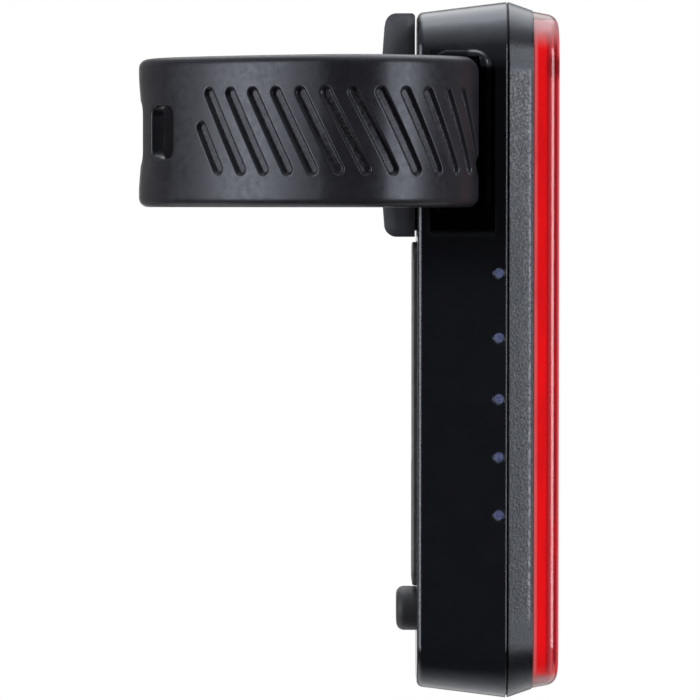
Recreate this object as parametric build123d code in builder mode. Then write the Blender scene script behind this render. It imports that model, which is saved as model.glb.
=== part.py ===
from build123d import *
from math import acos, atan2, copysign, cos, degrees, hypot, radians, sin
import os

# A strap-on rear light for a bicycle. Millimetres.
# The origin is on the axis of the post that it straps to, halfway up the strap.
# X points away from the post, the way the lamp shines, and Z is up.

# How far a cutting shape runs past what it cuts
past = 1.0
quarter_turn = 90.0

# The post and the strap's loop, seen from above. Each bend is a part of a circle.
post_r = 15.45
strap_thick = 2.1
strap_tall = 19.2
strap_outer_round = 1.2
strap_inner_round = 0.5
flank_r = 60.0
shoulder_r = 11.0
shoulder_x = 10.5
shoulder_out = 15.3
shoulder_turn = 24.0
cheek_r = 20.7
foot_turn = 75.0
tail_turn = 54.0
tail_bend_r = 7.0
tab_turn = 5.0
tab_long = 8.0

# The slots down the strap, and the slanting grooves
slot_long = 5.4
slot_tall = 6.8
slot_corner = 1.3
slot_pitch = 9.8
near_slot_at = 10.5
far_slots = (0, 2, 3, 4, 5, 6)
groove_pitch = 3.45
groove_first = 22.4
groove_count = 12
groove_tall = 9.6
groove_wide = 1.3
groove_deep = 0.55
groove_lean = 28.0
short_groove_tall = 4.6
short_groove_drop = 2.3

# Where the strap bends when it is opened
flex_long = 34.3
flex_gap = 0.12

# The lamp body: upright rounded rectangles, drawn in from the seam to the back
body_tall = 90.2
body_wide = 22.0
body_corner = 7.5
body_top = 17.0
back_x = 18.6
back_inset = 1.45
back_round = 0.8
seam_x = 30.1
wall = 1.6

# Strap bosses on the sides, the hook and the channel that holds the strap's foot
boss_x = 24.15
boss_long = 7.3
boss_over = 0.9
boss_corner = 2.0
boss_proud = 1.5
boss_round = 0.5
bead_r = 1.3
bead_gap = 0.1
bead_in = 1.8
channel_wall = 0.55
pin_r = 0.7
pin_gap = 0.02
pin_in = 1.6
hook_thick = 2.2
hook_gap = 0.45
hook_lean = 13.0
hook_over = 1.6
hook_root_share = 1.5
hook_round = 0.7

# Bezel, seals and lens
seal_thick = 0.25
seal_set_in = 0.35
bezel_deep = 3.15
bezel_inset = 1.1
bezel_wall = 1.2
bezel_ledge = 1.9
bezel_ledge_thick = 1.15
spigot_gap = 0.1
spigot_wall = 1.0
spigot_long = 1.75
lens_seal_thick = 0.4
lens_step = 0.1
lens_deep = 3.4
lens_narrow = 0.65
lens_round = 1.7
lens_wall = 1.3
lens_gap = 0.1

# Light engine
board_thick = 1.0
led_count = 6
led_wide = 3.0
led_thick = 0.8
cup_back_r = 2.3
cup_side_wall = 1.6
cup_end_wall = 1.85
flange_thick = 1.0
diffuser_thick = 0.8
diffuser_gap = 0.2
led_board_inset = 3.3
fit_gap = 0.1

# Circuit board, its screws and what it carries
main_board_set_back = 4.1
main_board_inset = 2.6
boss_post_r = 1.9
boss_post_side_in = 6.4
boss_post_end_in = 5.3
screw_r = 0.7
screw_hole_gap = 0.35
screw_pilot_gap = 0.03
screw_long = 4.5
screw_head_r = 1.75
screw_head_thick = 1.1
header_pin = 0.6
header_pitch = 2.0
header_pins = 4
header_drop = 22.5

# Battery
battery_thick = 5.0
battery_side_gap = 0.95
battery_top_gap = 7.7
battery_round = 1.0
tape_thick = 0.3
tape_share = 0.8
connector_wide = 5.0
connector_tall = 3.4
connector_thick = 2.6
connector_gap = 3.0
lead_r = 0.45
lead_pitch = 2.0
lead_long = 2.4

# Charging socket and its flap
usb_tall = 8.94
usb_wide = 3.16
usb_shell = 0.3
usb_tongue_tall = 6.7
usb_tongue_thick = 0.7
usb_rise = 23.2
usb_gap = 0.2
flap_tall = 14.6
flap_wide = 7.4
flap_over = 6.9
flap_gap = 0.3
flap_corner = 1.6
flap_edge_share = 0.49
plug_deep = 1.2
plug_gap = 0.35
plug_round = 0.4

# Raised strip down the back
strip_wide = 13.0
strip_under_pad = 0.7
strip_under_flap = 0.9
strip_corner = 2.4
strip_thick = 0.95
strip_sunk = 0.35
strip_round = 0.3

# Rubber block against the post
pad_seat = 0.3
pad_down = 1.6
pad_bottom = -13.4
pad_crown = 0.65
pad_corner = 1.5
pad_back_corner = 0.5
pad_half = 6.75
seat_top = 10.1
seat_bottom = -12.6
seat_half = 5.0
peg_r = 1.6
peg_gap = 0.1
peg_long = 1.2
peg_pitch = 14.0

# Button and click switch
button_rise = 11.35
button_tall = 5.4
button_wide = 10.0
button_proud = 2.6
button_round = 1.0
button_gap = 0.15
button_travel = 0.4
button_flange = 1.0
button_flange_thick = 0.7
button_flange_gap = 0.1
stem_r = 1.5
switch_side = 6.0
switch_thick = 3.1
plunger_r = 1.2
plunger_proud = 0.7
plunger_long = 2.0
plunger_gap = 0.05

# Clear strip behind the five dots
dot_r = 0.62
dot_gap = 0.03
dot_set_back = 1.05
dot_shares = (0.388, 0.480, 0.5671, 0.6497, 0.7323)
pipe_thick = 0.8
pipe_deep = 1.85
pipe_gap = 0.12
gauge_led_thick = 0.6
gauge_led_wide = 0.8
gauge_led_tall = 1.6


os.makedirs("parts", exist_ok=True)

band_r = post_r + strap_thick
half_body = body_wide / 2
body_mid = body_top - body_tall / 2
body_bottom = body_top - body_tall
boss_out = half_body + boss_proud
boss_tall = strap_tall + 2 * boss_over
inner_back = back_x + wall
main_board_x = seam_x - main_board_set_back
board_front = main_board_x + board_thick
pad_back = back_x - pad_seat
pad_top = body_top - pad_down
pad_reach = (post_r**2 - pad_half**2) ** 0.5

# Heights on the back, from the bottom up
button_z = body_bottom + button_rise
usb_z = body_bottom + usb_rise
flap_top = usb_z + flap_over
flap_mid = flap_top - flap_tall / 2
strip_top = pad_bottom - strip_under_pad
strip_bottom = flap_top - flap_tall - strip_under_flap
strip_mid = (strip_top + strip_bottom) / 2
strip_tall = strip_top - strip_bottom

# The dots, as shares of the height down from the top
dot_x = seam_x - dot_set_back
dot_places = [body_top - share * body_tall for share in dot_shares]


def save(piece, name):
    """Label a finished piece and write it."""
    piece.part.label = name
    export_step(piece.part, f"parts/{name}.step")


def draw_in(x):
    """How far the body's outline is drawn in at depth x, behind the seam."""
    return back_inset * (seam_x - x) / (seam_x - back_x)


def upright_block(*stations):
    """Solid through upright rounded rectangles, each (depth, distance in from the seam's outline)."""
    with BuildPart() as block:
        for depth, inset in stations:
            with BuildSketch(Plane.YZ.offset(depth)):
                with Locations((0, body_mid)):
                    RectangleRounded(body_wide - 2 * inset, body_tall - 2 * inset, body_corner - inset)
        loft(ruled=True)
    return block.part


def upright_ring(front, back, outer, inner):
    """Straight ring between two depths and two insets."""
    with BuildPart() as ring:
        add(upright_block((back, outer), (front, outer)))
        add(upright_block((back - past, inner), (front + past, inner)), mode=Mode.SUBTRACT)
    return ring.part


# The strap's path. Seen from above, w is the distance out from the middle plane, and a slope of 0 runs
# along X. Every bend is (centre x, centre w, radius, first slope, last slope), from the nose outwards,
# with a minus radius where the centre is outside the loop.
def loop_bends(last_slope):
    """Bends of one side of the loop: nose, flank, shoulder and cheek."""
    span = hypot(shoulder_x, shoulder_out)
    flank_from_nose = flank_r - band_r
    flank_from_shoulder = flank_r - shoulder_r
    along = (flank_from_nose**2 - flank_from_shoulder**2 + span**2) / (2 * span)
    bearing = atan2(shoulder_out, shoulder_x) - acos(along / flank_from_nose)
    flank_x = flank_from_nose * cos(bearing)
    flank_w = flank_from_nose * sin(bearing)
    nose_end = degrees(atan2(flank_x, -flank_w))
    flank_end = degrees(atan2(flank_x - shoulder_x, shoulder_out - flank_w))
    turn = radians(shoulder_turn)
    cheek_x = shoulder_x - (cheek_r - shoulder_r) * sin(turn)
    cheek_w = shoulder_out - (cheek_r - shoulder_r) * cos(turn)
    return [
        (0, 0, band_r, quarter_turn, nose_end),
        (flank_x, flank_w, flank_r, nose_end, flank_end),
        (shoulder_x, shoulder_out, shoulder_r, flank_end, -shoulder_turn),
        (cheek_x, cheek_w, cheek_r, -shoulder_turn, last_slope),
    ]


def on_bend(bend, slope, inside=0):
    """Point of a bend's face, or one that lies deeper inside the band."""
    x, w, radius, _, _ = bend
    angle = radians(slope)
    return x - (radius - inside) * sin(angle), w + (radius - inside) * cos(angle)


def bend_long(bend):
    """Length of a bend's outer face."""
    return abs(radians(bend[3] - bend[4]) * bend[2])


near_bends = loop_bends(-foot_turn)
far_bends = loop_bends(-tail_turn)
tail_x, tail_w = on_bend(far_bends[-1], -tail_turn, -tail_bend_r)
far_bends.append((tail_x, tail_w, -tail_bend_r, -tail_turn, -tab_turn))


def band_place(bends, distance, inside=0):
    """Point and slope on the loop, a distance round from the nose."""
    for bend in bends:
        if distance <= bend_long(bend) or bend is bends[-1]:
            share = distance / bend_long(bend)
            slope = bend[3] + (bend[4] - bend[3]) * share
            return on_bend(bend, slope, inside), slope
        distance -= bend_long(bend)


def band_plane(bends, side, distance, inside=0):
    """Plane on the band: x along it away from the nose, z outwards. side is -1 near, 1 far."""
    (x, w), slope = band_place(bends, distance, inside)
    angle = radians(slope)
    return Plane(
        origin=(x, side * w, 0),
        x_dir=(cos(angle), side * sin(angle), 0),
        z_dir=(-sin(angle), side * cos(angle), 0),
    )


def bend_arcs(bends, side):
    """The bends' outer faces as arcs."""
    for x, w, radius, first, last in bends:
        start = copysign(quarter_turn, radius) + first
        CenterArc((x, side * w), abs(radius), side * start, side * (last - first))


def cut_bends(bends, start, stop):
    """The same bends, kept only between two distances round from the nose."""
    kept = []
    for bend in bends:
        x, w, radius, first, last = bend
        size = bend_long(bend)
        low, high = max(0, start) / size, min(size, stop) / size
        if low < 1 and high > 0 and low < high:
            kept.append((x, w, radius, first + (last - first) * low, first + (last - first) * high))
        start -= size
        stop -= size
    return kept


def swept_band(path, depth_from, depth_to, tall, outer_round, inner_round):
    """Band along a path of the outer face, between two depths below that face."""
    with BuildPart() as band:
        with BuildSketch(Plane(origin=path @ 0, x_dir=(0, 0, 1), z_dir=path % 0)) as section:
            with Locations((0, (depth_from + depth_to) / 2)):
                Rectangle(tall, depth_to - depth_from)
            if outer_round:
                fillet(section.vertices().group_by(Axis.Y)[0], outer_round)
                fillet(section.vertices().group_by(Axis.Y)[-1], inner_round)
        sweep(path=path)
    return band.part


far_long = sum(bend_long(bend) for bend in far_bends)
near_long = sum(bend_long(bend) for bend in near_bends)
foot_place, foot_slope = band_place(near_bends, near_long)
foot_ahead = (cos(radians(foot_slope)), -sin(radians(foot_slope)))
foot_run = (foot_place[1] - (boss_out - bead_in)) / foot_ahead[1]
foot_end = (foot_place[0] + foot_run * foot_ahead[0], -(foot_place[1] - foot_run * foot_ahead[1]))
bead_place = (
    foot_end[0] - foot_ahead[1] * strap_thick / 2,
    foot_end[1] + foot_ahead[0] * strap_thick / 2,
    0,
)

with BuildLine() as fixed_path:
    Line(foot_end, (foot_place[0], -foot_place[1]))
    for x, w, radius, first, last in reversed(near_bends):
        CenterArc((x, -w), radius, -(quarter_turn + last), last - first)
    bend_arcs(cut_bends(far_bends, 0, flex_long), 1)

flex_plane = band_plane(far_bends, 1, flex_long, strap_thick / 2)
tab_place, tab_slope = band_place(far_bends, far_long)
tab_end = (
    tab_place[0] + tab_long * cos(radians(tab_slope)),
    tab_place[1] + tab_long * sin(radians(tab_slope)),
)
with BuildLine() as tail_path:
    bend_arcs(cut_bends(far_bends, flex_long, far_long), 1)
    Line(tab_place, tab_end)


def slot_cutters(bends, side, distances):
    """Rounded openings through the band, centred at distances round from the nose."""
    with BuildPart() as cutters:
        for distance in distances:
            with BuildSketch(band_plane(bends, side, distance)):
                RectangleRounded(slot_long, slot_tall, slot_corner)
            extrude(amount=strap_thick + past, both=True)
    return cutters.part


def groove_cutters():
    """Slanting grooves of even depth, cut from the outer skin of the near side."""
    lean = radians(groove_lean)
    upright = quarter_turn + groove_lean
    with BuildPart() as cutters:
        for number in range(groove_count):
            with BuildSketch(band_plane(near_bends, -1, groove_first + number * groove_pitch)):
                SlotCenterToCenter(groove_tall / cos(lean), groove_wide, rotation=upright)
            extrude(amount=past, both=True)
        with BuildSketch(band_plane(near_bends, -1, groove_first - groove_pitch)):
            with Locations((short_groove_drop * sin(lean), -short_groove_drop)):
                SlotCenterToCenter(short_groove_tall, groove_wide, rotation=upright)
        extrude(amount=past, both=True)
        add(swept_band(fixed_path.wire(), -past, groove_deep, strap_tall, 0, 0), mode=Mode.INTERSECT)
    return cutters.part


far_slots_at = [number * slot_pitch for number in far_slots]
fixed_slots = [distance for distance in far_slots_at if distance < flex_long]
tail_slots = [distance for distance in far_slots_at if distance > flex_long]

with BuildPart() as strap:
    add(swept_band(fixed_path.wire(), 0, strap_thick, strap_tall, strap_outer_round, strap_inner_round))
    with Locations(bead_place):
        Cylinder(bead_r, strap_tall)
    add(slot_cutters(near_bends, -1, [near_slot_at]), mode=Mode.SUBTRACT)
    add(slot_cutters(far_bends, 1, fixed_slots), mode=Mode.SUBTRACT)
    add(groove_cutters(), mode=Mode.SUBTRACT)
    with Locations(bead_place):
        Cylinder(pin_r + pin_gap, strap_tall + past, mode=Mode.SUBTRACT)
    with BuildSketch(Plane(origin=flex_plane.origin, x_dir=(0, 0, 1), z_dir=flex_plane.x_dir)):
        Rectangle(strap_tall + past, 2 * strap_thick)
    extrude(amount=-(strap_thick / 2 + flex_gap), mode=Mode.SUBTRACT)
save(strap, "strap")

with BuildPart() as strap_tail:
    add(swept_band(tail_path.wire(), 0, strap_thick, strap_tall, strap_outer_round, strap_inner_round))
    add(slot_cutters(far_bends, 1, tail_slots), mode=Mode.SUBTRACT)
    with Locations(flex_plane.origin):
        Cylinder(strap_thick / 2, strap_tall - 2 * strap_outer_round)
save(strap_tail, "strap_tail")

with BuildPart() as strap_pin:
    with Locations(bead_place):
        Cylinder(pin_r, strap_tall - 2 * pin_in)
save(strap_pin, "strap_pin")

# Rear case
seat_long = seat_top - seat_bottom
pad_mid = (pad_top + pad_bottom) / 2
post_ends = (body_top - boss_post_end_in, body_bottom + boss_post_end_in)
post_w = half_body - boss_post_side_in
post_places = [(side * post_w, height) for side in (-1, 1) for height in post_ends]
peg_places = [(0, pad_mid + side * peg_pitch / 2) for side in (-1, 1)]
strip_x = back_x + strip_sunk - strip_thick
hollow_front = seam_x + past

foot_plane = Plane(
    origin=(foot_end[0], foot_end[1], 0),
    x_dir=(0, 0, 1),
    z_dir=-(fixed_path.wire() % 0),
)
hook_plane = band_plane(far_bends, 1, far_slots_at[-1])
hook_bar = hook_plane.origin + hook_plane.x_dir * (slot_long / 2)
hook_corner = hook_bar - hook_plane.z_dir * strap_thick
hook_top = hook_bar.Y + hook_over
hook_root = half_body - wall


def hook_face(w, set_back):
    """Where the hook's leaning face stands, a distance out from the middle plane."""
    return hook_corner.X - hook_gap - set_back + (w - hook_corner.Y) * sin(radians(hook_lean))


with BuildPart() as rear_housing:
    add(upright_block((back_x, back_inset), (seam_x, 0)))
    fillet(rear_housing.faces().sort_by(Axis.X)[0].edges(), back_round)
    for side in (-1, 1):
        with BuildSketch(Plane.XZ.offset(-side * boss_out)):
            with Locations((boss_x, 0)):
                RectangleRounded(boss_long, boss_tall, boss_corner)
        extrude(amount=side * (boss_proud + wall))
        fillet(rear_housing.faces().sort_by(Axis.Y)[0 if side < 0 else -1].edges(), boss_round)
    with BuildSketch(Plane.YZ.offset(pad_back)):
        with Locations((0, (seat_top + seat_bottom) / 2)):
            RectangleRounded(2 * seat_half, seat_long, strip_corner)
    extrude(amount=inner_back - pad_back)
    add(
        upright_block(
            (inner_back, draw_in(inner_back) + wall),
            (hollow_front, draw_in(hollow_front) + wall),
        ),
        mode=Mode.SUBTRACT,
    )
    with BuildSketch(Plane.YZ.offset(inner_back - wall / 2)):
        with Locations(*post_places):
            Circle(boss_post_r)
    extrude(amount=main_board_x - inner_back + wall / 2)
    with BuildSketch(Plane.YZ.offset(main_board_x)):
        with Locations(*post_places):
            Circle(screw_r + screw_pilot_gap)
    extrude(amount=-screw_long, mode=Mode.SUBTRACT)
    with Locations(bead_place):
        Cylinder(bead_r + bead_gap + channel_wall, boss_tall - 2 * boss_corner)
    with Locations(bead_place):
        Cylinder(bead_r + bead_gap, strap_tall + 2 * bead_gap, mode=Mode.SUBTRACT)
    with BuildSketch(foot_plane):
        with Locations((0, -strap_thick / 2)):
            Rectangle(strap_tall + 2 * bead_gap, strap_thick + 2 * bead_gap)
    extrude(amount=-(bead_in + boss_proud + past), mode=Mode.SUBTRACT)
    with BuildSketch(Plane.XY):
        with BuildLine():
            Polyline(
                (hook_face(hook_root, hook_thick * hook_root_share), hook_root),
                (hook_face(hook_corner.Y, hook_thick), hook_corner.Y),
                (hook_face(hook_top, hook_thick), hook_top),
                (hook_face(hook_top, 0), hook_top),
                (hook_face(hook_corner.Y, 0), hook_corner.Y),
                (hook_face(hook_root, -hook_thick / 2), hook_root),
                close=True,
            )
        make_face()
    extrude(amount=slot_tall / 2 - hook_gap, both=True)
    fillet(rear_housing.faces().sort_by(Axis.Y)[-1].edges(), hook_round)
    with BuildSketch(Plane.YZ.offset(back_x + strip_sunk)):
        with Locations((0, strip_mid)):
            RectangleRounded(strip_wide + 2 * fit_gap, strip_tall + 2 * fit_gap, strip_corner)
    extrude(amount=-(strip_sunk + past), mode=Mode.SUBTRACT)
    with BuildSketch(Plane.YZ.offset(back_x - past)):
        with Locations((0, usb_z)):
            SlotOverall(usb_tall + 2 * usb_gap, usb_wide + 2 * usb_gap, rotation=90)
        with Locations((0, button_z)):
            SlotOverall(button_wide + 2 * button_gap, button_tall + 2 * button_gap)
    extrude(amount=wall + 2 * past, mode=Mode.SUBTRACT)
    with BuildSketch(Plane.YZ.offset(pad_back)):
        with Locations(*peg_places):
            Circle(peg_r + peg_gap)
    extrude(amount=peg_long + peg_gap, mode=Mode.SUBTRACT)
    with BuildSketch(Plane.XZ):
        with Locations(*[(dot_x, height) for height in dot_places]):
            Circle(dot_r + dot_gap)
    extrude(amount=body_wide, mode=Mode.SUBTRACT)
save(rear_housing, "rear_housing")

# Seal, bezel and lens
bezel_x = seam_x + seal_thick
bezel_front = bezel_x + bezel_deep
ledge_x = bezel_x + bezel_ledge_thick
window_inset = bezel_inset + bezel_wall
ledge_inset = window_inset + bezel_ledge
spigot_back = bezel_x - spigot_long
spigot_inset = draw_in(spigot_back) + wall + spigot_gap
spigot_hollow = spigot_inset + spigot_wall

with BuildPart() as seam_seal:
    add(upright_ring(bezel_x, seam_x, seal_set_in, spigot_inset))
save(seam_seal, "seam_seal")

gauge_mid = (dot_places[0] + dot_places[-1]) / 2
gauge_long = dot_places[0] - dot_places[-1]
strip_side = half_body - draw_in(board_front) - wall - pipe_gap

with BuildPart() as bezel:
    add(upright_block((bezel_x, 0), (bezel_front, bezel_inset)))
    add(upright_block((spigot_back, spigot_inset), (bezel_x, spigot_inset)))
    add(
        upright_block((spigot_back - past, spigot_hollow), (bezel_x, spigot_hollow)),
        mode=Mode.SUBTRACT,
    )
    add(upright_block((bezel_x - past, ledge_inset), (bezel_front, ledge_inset)), mode=Mode.SUBTRACT)
    add(upright_block((ledge_x, window_inset), (bezel_front + past, window_inset)), mode=Mode.SUBTRACT)
    with BuildSketch(Plane.XZ):
        with Locations((bezel_x - spigot_long / 2 - past, gauge_mid)):
            Rectangle(spigot_long + 2 * past, gauge_long + 2 * pipe_deep)
    extrude(amount=body_wide, mode=Mode.SUBTRACT)
save(bezel, "bezel")

with BuildPart() as lens_seal:
    add(upright_ring(ledge_x + lens_seal_thick, ledge_x, window_inset + lens_gap, ledge_inset - lens_gap))
save(lens_seal, "lens_seal")

lens_front = bezel_front + lens_deep
lens_base = ledge_x + lens_seal_thick
lens_inside = lens_front - lens_wall
lens_inset = bezel_inset + lens_step
lens_hollow = ledge_inset - 2 * lens_gap
with BuildPart() as lens:
    add(upright_block((bezel_front, lens_inset), (lens_front, lens_inset + lens_narrow)))
    fillet(lens.faces().sort_by(Axis.X)[-1].edges(), lens_round)
    add(upright_block((lens_base, window_inset + lens_gap), (bezel_front, window_inset + lens_gap)))
    add(upright_block((lens_base - past, lens_hollow), (lens_inside, lens_hollow)), mode=Mode.SUBTRACT)
save(lens, "lens")

# Light engine, in front of the circuit board
flange_back = bezel_x - flange_thick
diffuser_front = lens_inside - diffuser_gap
reflector_front = diffuser_front - diffuser_thick
led_board_back = flange_back - board_thick
reflector_inset = ledge_inset + fit_gap + lens_gap
led_pitch = (body_tall - 2 * (reflector_inset + cup_end_wall)) / led_count
led_places = [(0, body_mid + (n - (led_count - 1) / 2) * led_pitch) for n in range(led_count)]
cup_front_r = half_body - reflector_inset - cup_side_wall

with BuildPart() as reflector:
    add(upright_block((flange_back, reflector_inset), (reflector_front, reflector_inset)))
    add(upright_block((flange_back, spigot_hollow + fit_gap), (bezel_x, spigot_hollow + fit_gap)))
    for place in led_places:
        with BuildSketch(Plane.YZ.offset(flange_back)):
            with Locations(place):
                Circle(cup_back_r)
        with BuildSketch(Plane.YZ.offset(reflector_front)):
            with Locations(place):
                Circle(cup_front_r)
        loft(mode=Mode.SUBTRACT)
save(reflector, "reflector")

with BuildPart() as diffuser:
    add(upright_block((reflector_front, reflector_inset), (diffuser_front, reflector_inset)))
save(diffuser, "diffuser")

with BuildPart() as led_board:
    add(upright_block((led_board_back, led_board_inset), (flange_back, led_board_inset)))
save(led_board, "led_board")

with BuildPart() as led_chips:
    with BuildSketch(Plane.YZ.offset(flange_back)):
        with Locations(*led_places):
            Rectangle(led_wide, led_wide)
    extrude(amount=led_thick)
save(led_chips, "led_chips")

# Circuit board and what it carries
header_z = body_top - header_drop
header_places = [(0, header_z + (n - (header_pins - 1) / 2) * header_pitch) for n in range(header_pins)]
switch_back = main_board_x - switch_thick
socket_mouth = inner_back + fit_gap

with BuildPart() as main_board:
    add(upright_block((main_board_x, main_board_inset), (board_front, main_board_inset)))
    with BuildSketch(Plane.YZ.offset(main_board_x)):
        with Locations(*post_places):
            Circle(screw_r + screw_hole_gap)
    extrude(amount=board_thick, mode=Mode.SUBTRACT)
save(main_board, "main_board")

with BuildPart() as board_screws:
    with BuildSketch(Plane.YZ.offset(board_front)):
        with Locations(*post_places):
            Circle(screw_head_r)
    extrude(amount=screw_head_thick)
    with BuildSketch(Plane.YZ.offset(board_front)):
        with Locations(*post_places):
            Circle(screw_r)
    extrude(amount=-(screw_long - fit_gap + board_thick))
save(board_screws, "board_screws")

with BuildPart() as board_header:
    with BuildSketch(Plane.YZ.offset(board_front)):
        with Locations(*header_places):
            Rectangle(header_pin, header_pin)
    extrude(amount=led_board_back - board_front)
save(board_header, "board_header")

with BuildPart() as usb_socket:
    with BuildSketch(Plane.YZ.offset(socket_mouth)):
        with Locations((0, usb_z)):
            SlotOverall(usb_tall, usb_wide, rotation=90)
    extrude(amount=main_board_x - socket_mouth)
    with BuildSketch(Plane.YZ.offset(socket_mouth)):
        with Locations((0, usb_z)):
            SlotOverall(usb_tall - 2 * usb_shell, usb_wide - 2 * usb_shell, rotation=90)
            Rectangle(usb_tongue_thick, usb_tongue_tall, mode=Mode.SUBTRACT)
    extrude(amount=main_board_x - socket_mouth - board_thick, mode=Mode.SUBTRACT)
save(usb_socket, "usb_socket")

with BuildPart() as mode_switch:
    with BuildSketch(Plane.YZ.offset(switch_back)):
        with Locations((0, button_z)):
            Rectangle(switch_side, switch_side)
    extrude(amount=switch_thick)
    with BuildSketch(Plane.YZ.offset(switch_back)):
        with Locations((0, button_z)):
            Circle(plunger_r + plunger_gap)
    extrude(amount=plunger_long - plunger_proud + button_travel + plunger_gap, mode=Mode.SUBTRACT)
save(mode_switch, "mode_switch")

plunger_x = switch_back - plunger_proud
with BuildPart() as switch_plunger:
    with BuildSketch(Plane.YZ.offset(plunger_x)):
        with Locations((0, button_z)):
            Circle(plunger_r)
    extrude(amount=plunger_long)
save(switch_plunger, "switch_plunger")

button_face = back_x - button_proud
flange_x = inner_back + button_flange_gap
with BuildPart() as power_button:
    with BuildSketch(Plane.YZ.offset(button_face)):
        with Locations((0, button_z)):
            SlotOverall(button_wide, button_tall)
    extrude(amount=flange_x - button_face)
    fillet(power_button.faces().sort_by(Axis.X)[0].edges(), button_round)
    with BuildSketch(Plane.YZ.offset(flange_x)):
        with Locations((0, button_z)):
            SlotOverall(button_wide + 2 * button_flange, button_tall + 2 * button_flange)
    extrude(amount=button_flange_thick)
    with BuildSketch(Plane.YZ.offset(flange_x)):
        with Locations((0, button_z)):
            Circle(stem_r)
    extrude(amount=plunger_x - flange_x)
save(power_button, "power_button")

# Battery, behind the circuit board
battery_x = inner_back + tape_thick
battery_wide = body_wide - 2 * (back_inset + wall + battery_side_gap)
connector_top = usb_z + usb_tall / 2 + connector_gap + connector_tall
battery_top = body_top - battery_top_gap
battery_bottom = connector_top + lead_long
battery_tall = battery_top - battery_bottom
battery_mid = (battery_top + battery_bottom) / 2

with BuildPart() as battery_tape:
    with BuildSketch(Plane.YZ.offset(inner_back)):
        with Locations((0, battery_mid)):
            Rectangle(battery_wide * tape_share, battery_tall * tape_share)
    extrude(amount=tape_thick)
save(battery_tape, "battery_tape")

with BuildPart() as battery:
    with BuildSketch(Plane.YZ.offset(battery_x)):
        with Locations((0, battery_mid)):
            RectangleRounded(battery_wide, battery_tall, battery_round)
    extrude(amount=battery_thick)
save(battery, "battery")

with BuildPart() as battery_connector:
    with BuildSketch(Plane.YZ.offset(main_board_x)):
        with Locations((0, connector_top - connector_tall / 2)):
            Rectangle(connector_wide, connector_tall)
    extrude(amount=-connector_thick)
save(battery_connector, "battery_connector")

lead_x = main_board_x - connector_thick / 2
with BuildPart() as battery_leads:
    with BuildSketch(Plane.XY.offset(battery_bottom)):
        with Locations((lead_x, -lead_pitch / 2), (lead_x, lead_pitch / 2)):
            Circle(lead_r)
    extrude(amount=-lead_long)
save(battery_leads, "battery_leads")

# Clear strip whose tips show on the near side, and the small lamps behind it
pipe_front = dot_x + dot_r
pipe_back = pipe_front - pipe_deep
with BuildPart() as gauge_light_pipe:
    with BuildSketch(Plane.XZ.offset(strip_side - pipe_thick)):
        with Locations(((pipe_front + pipe_back) / 2, gauge_mid)):
            Rectangle(pipe_deep, gauge_long + pipe_deep)
    extrude(amount=pipe_thick)
    with BuildSketch(Plane.XZ.offset(strip_side)):
        with Locations(*[(dot_x, height) for height in dot_places]):
            Circle(dot_r)
    extrude(amount=half_body - strip_side)
    add(upright_block((back_x, back_inset), (seam_x, 0)), mode=Mode.INTERSECT)
save(gauge_light_pipe, "gauge_light_pipe")

with BuildPart() as gauge_leds:
    with BuildSketch(Plane.YZ.offset(board_front)):
        with Locations(*[(-(strip_side - pipe_thick / 2), height) for height in dot_places]):
            Rectangle(gauge_led_wide, gauge_led_tall)
    extrude(amount=gauge_led_thick)
save(gauge_leds, "gauge_leds")

# Raised strip down the back, with the charging flap in it
with BuildPart() as back_plate:
    with BuildSketch(Plane.YZ.offset(strip_x)):
        with Locations((0, strip_mid)):
            RectangleRounded(strip_wide, strip_tall, strip_corner)
    extrude(amount=strip_thick)
    fillet(back_plate.faces().sort_by(Axis.X)[0].edges(), strip_round)
    with BuildSketch(Plane.YZ.offset(strip_x - past)):
        with Locations((0, flap_mid)):
            RectangleRounded(flap_wide + 2 * flap_gap, flap_tall + 2 * flap_gap, flap_corner)
    extrude(amount=strip_thick + 2 * past, mode=Mode.SUBTRACT)
save(back_plate, "back_plate")

hinge_x = strip_x + strip_thick / 2
hinge_z = flap_top - strip_thick / 2
with BuildPart() as port_cover:
    with BuildSketch(Plane.YZ.offset(strip_x)):
        with Locations((0, flap_mid)):
            RectangleRounded(flap_wide, flap_tall, flap_corner)
    extrude(amount=strip_thick)
    fillet(port_cover.edges().filter_by(Axis.Y).sort_by(Axis.Z)[-2:], strip_thick * flap_edge_share)
    with BuildSketch(Plane.YZ.offset(strip_x + strip_thick)):
        with Locations((0, usb_z)):
            SlotOverall(usb_tall - 2 * plug_gap, usb_wide - 2 * plug_gap, rotation=90)
    extrude(amount=plug_deep)
    fillet(port_cover.faces().sort_by(Axis.X)[-1].edges(), plug_round)
save(port_cover, "port_cover")

# Rubber block that lies against the post
pad_front = pad_reach + pad_crown
with BuildPart() as cradle_pad:
    with BuildSketch(Plane.XY.offset(pad_bottom)):
        with BuildLine():
            RadiusArc((pad_reach, -pad_half), (pad_reach, pad_half), -post_r)
            Polyline(
                (pad_reach, pad_half),
                (pad_back, pad_half),
                (pad_back, -pad_half),
                (pad_reach, -pad_half),
            )
        make_face()
    extrude(amount=pad_top - pad_bottom)
    with BuildSketch(Plane.XZ) as profile:
        with BuildLine():
            SagittaArc((pad_front, pad_bottom), (pad_front, pad_top), pad_crown)
            Polyline(
                (pad_front, pad_top),
                (pad_back, pad_top),
                (pad_back, pad_bottom),
                (pad_front, pad_bottom),
            )
        make_face()
        fillet(profile.vertices().group_by(Axis.X)[0], pad_corner)
        fillet(profile.vertices().group_by(Axis.X)[-1].sort_by(Axis.Y)[-1], pad_back_corner)
    extrude(amount=2 * pad_half, both=True, mode=Mode.INTERSECT)
    with BuildSketch(Plane.YZ.offset(pad_back)):
        with Locations(*peg_places):
            Circle(peg_r)
    extrude(amount=peg_long)
save(cradle_pad, "cradle_pad")
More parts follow.
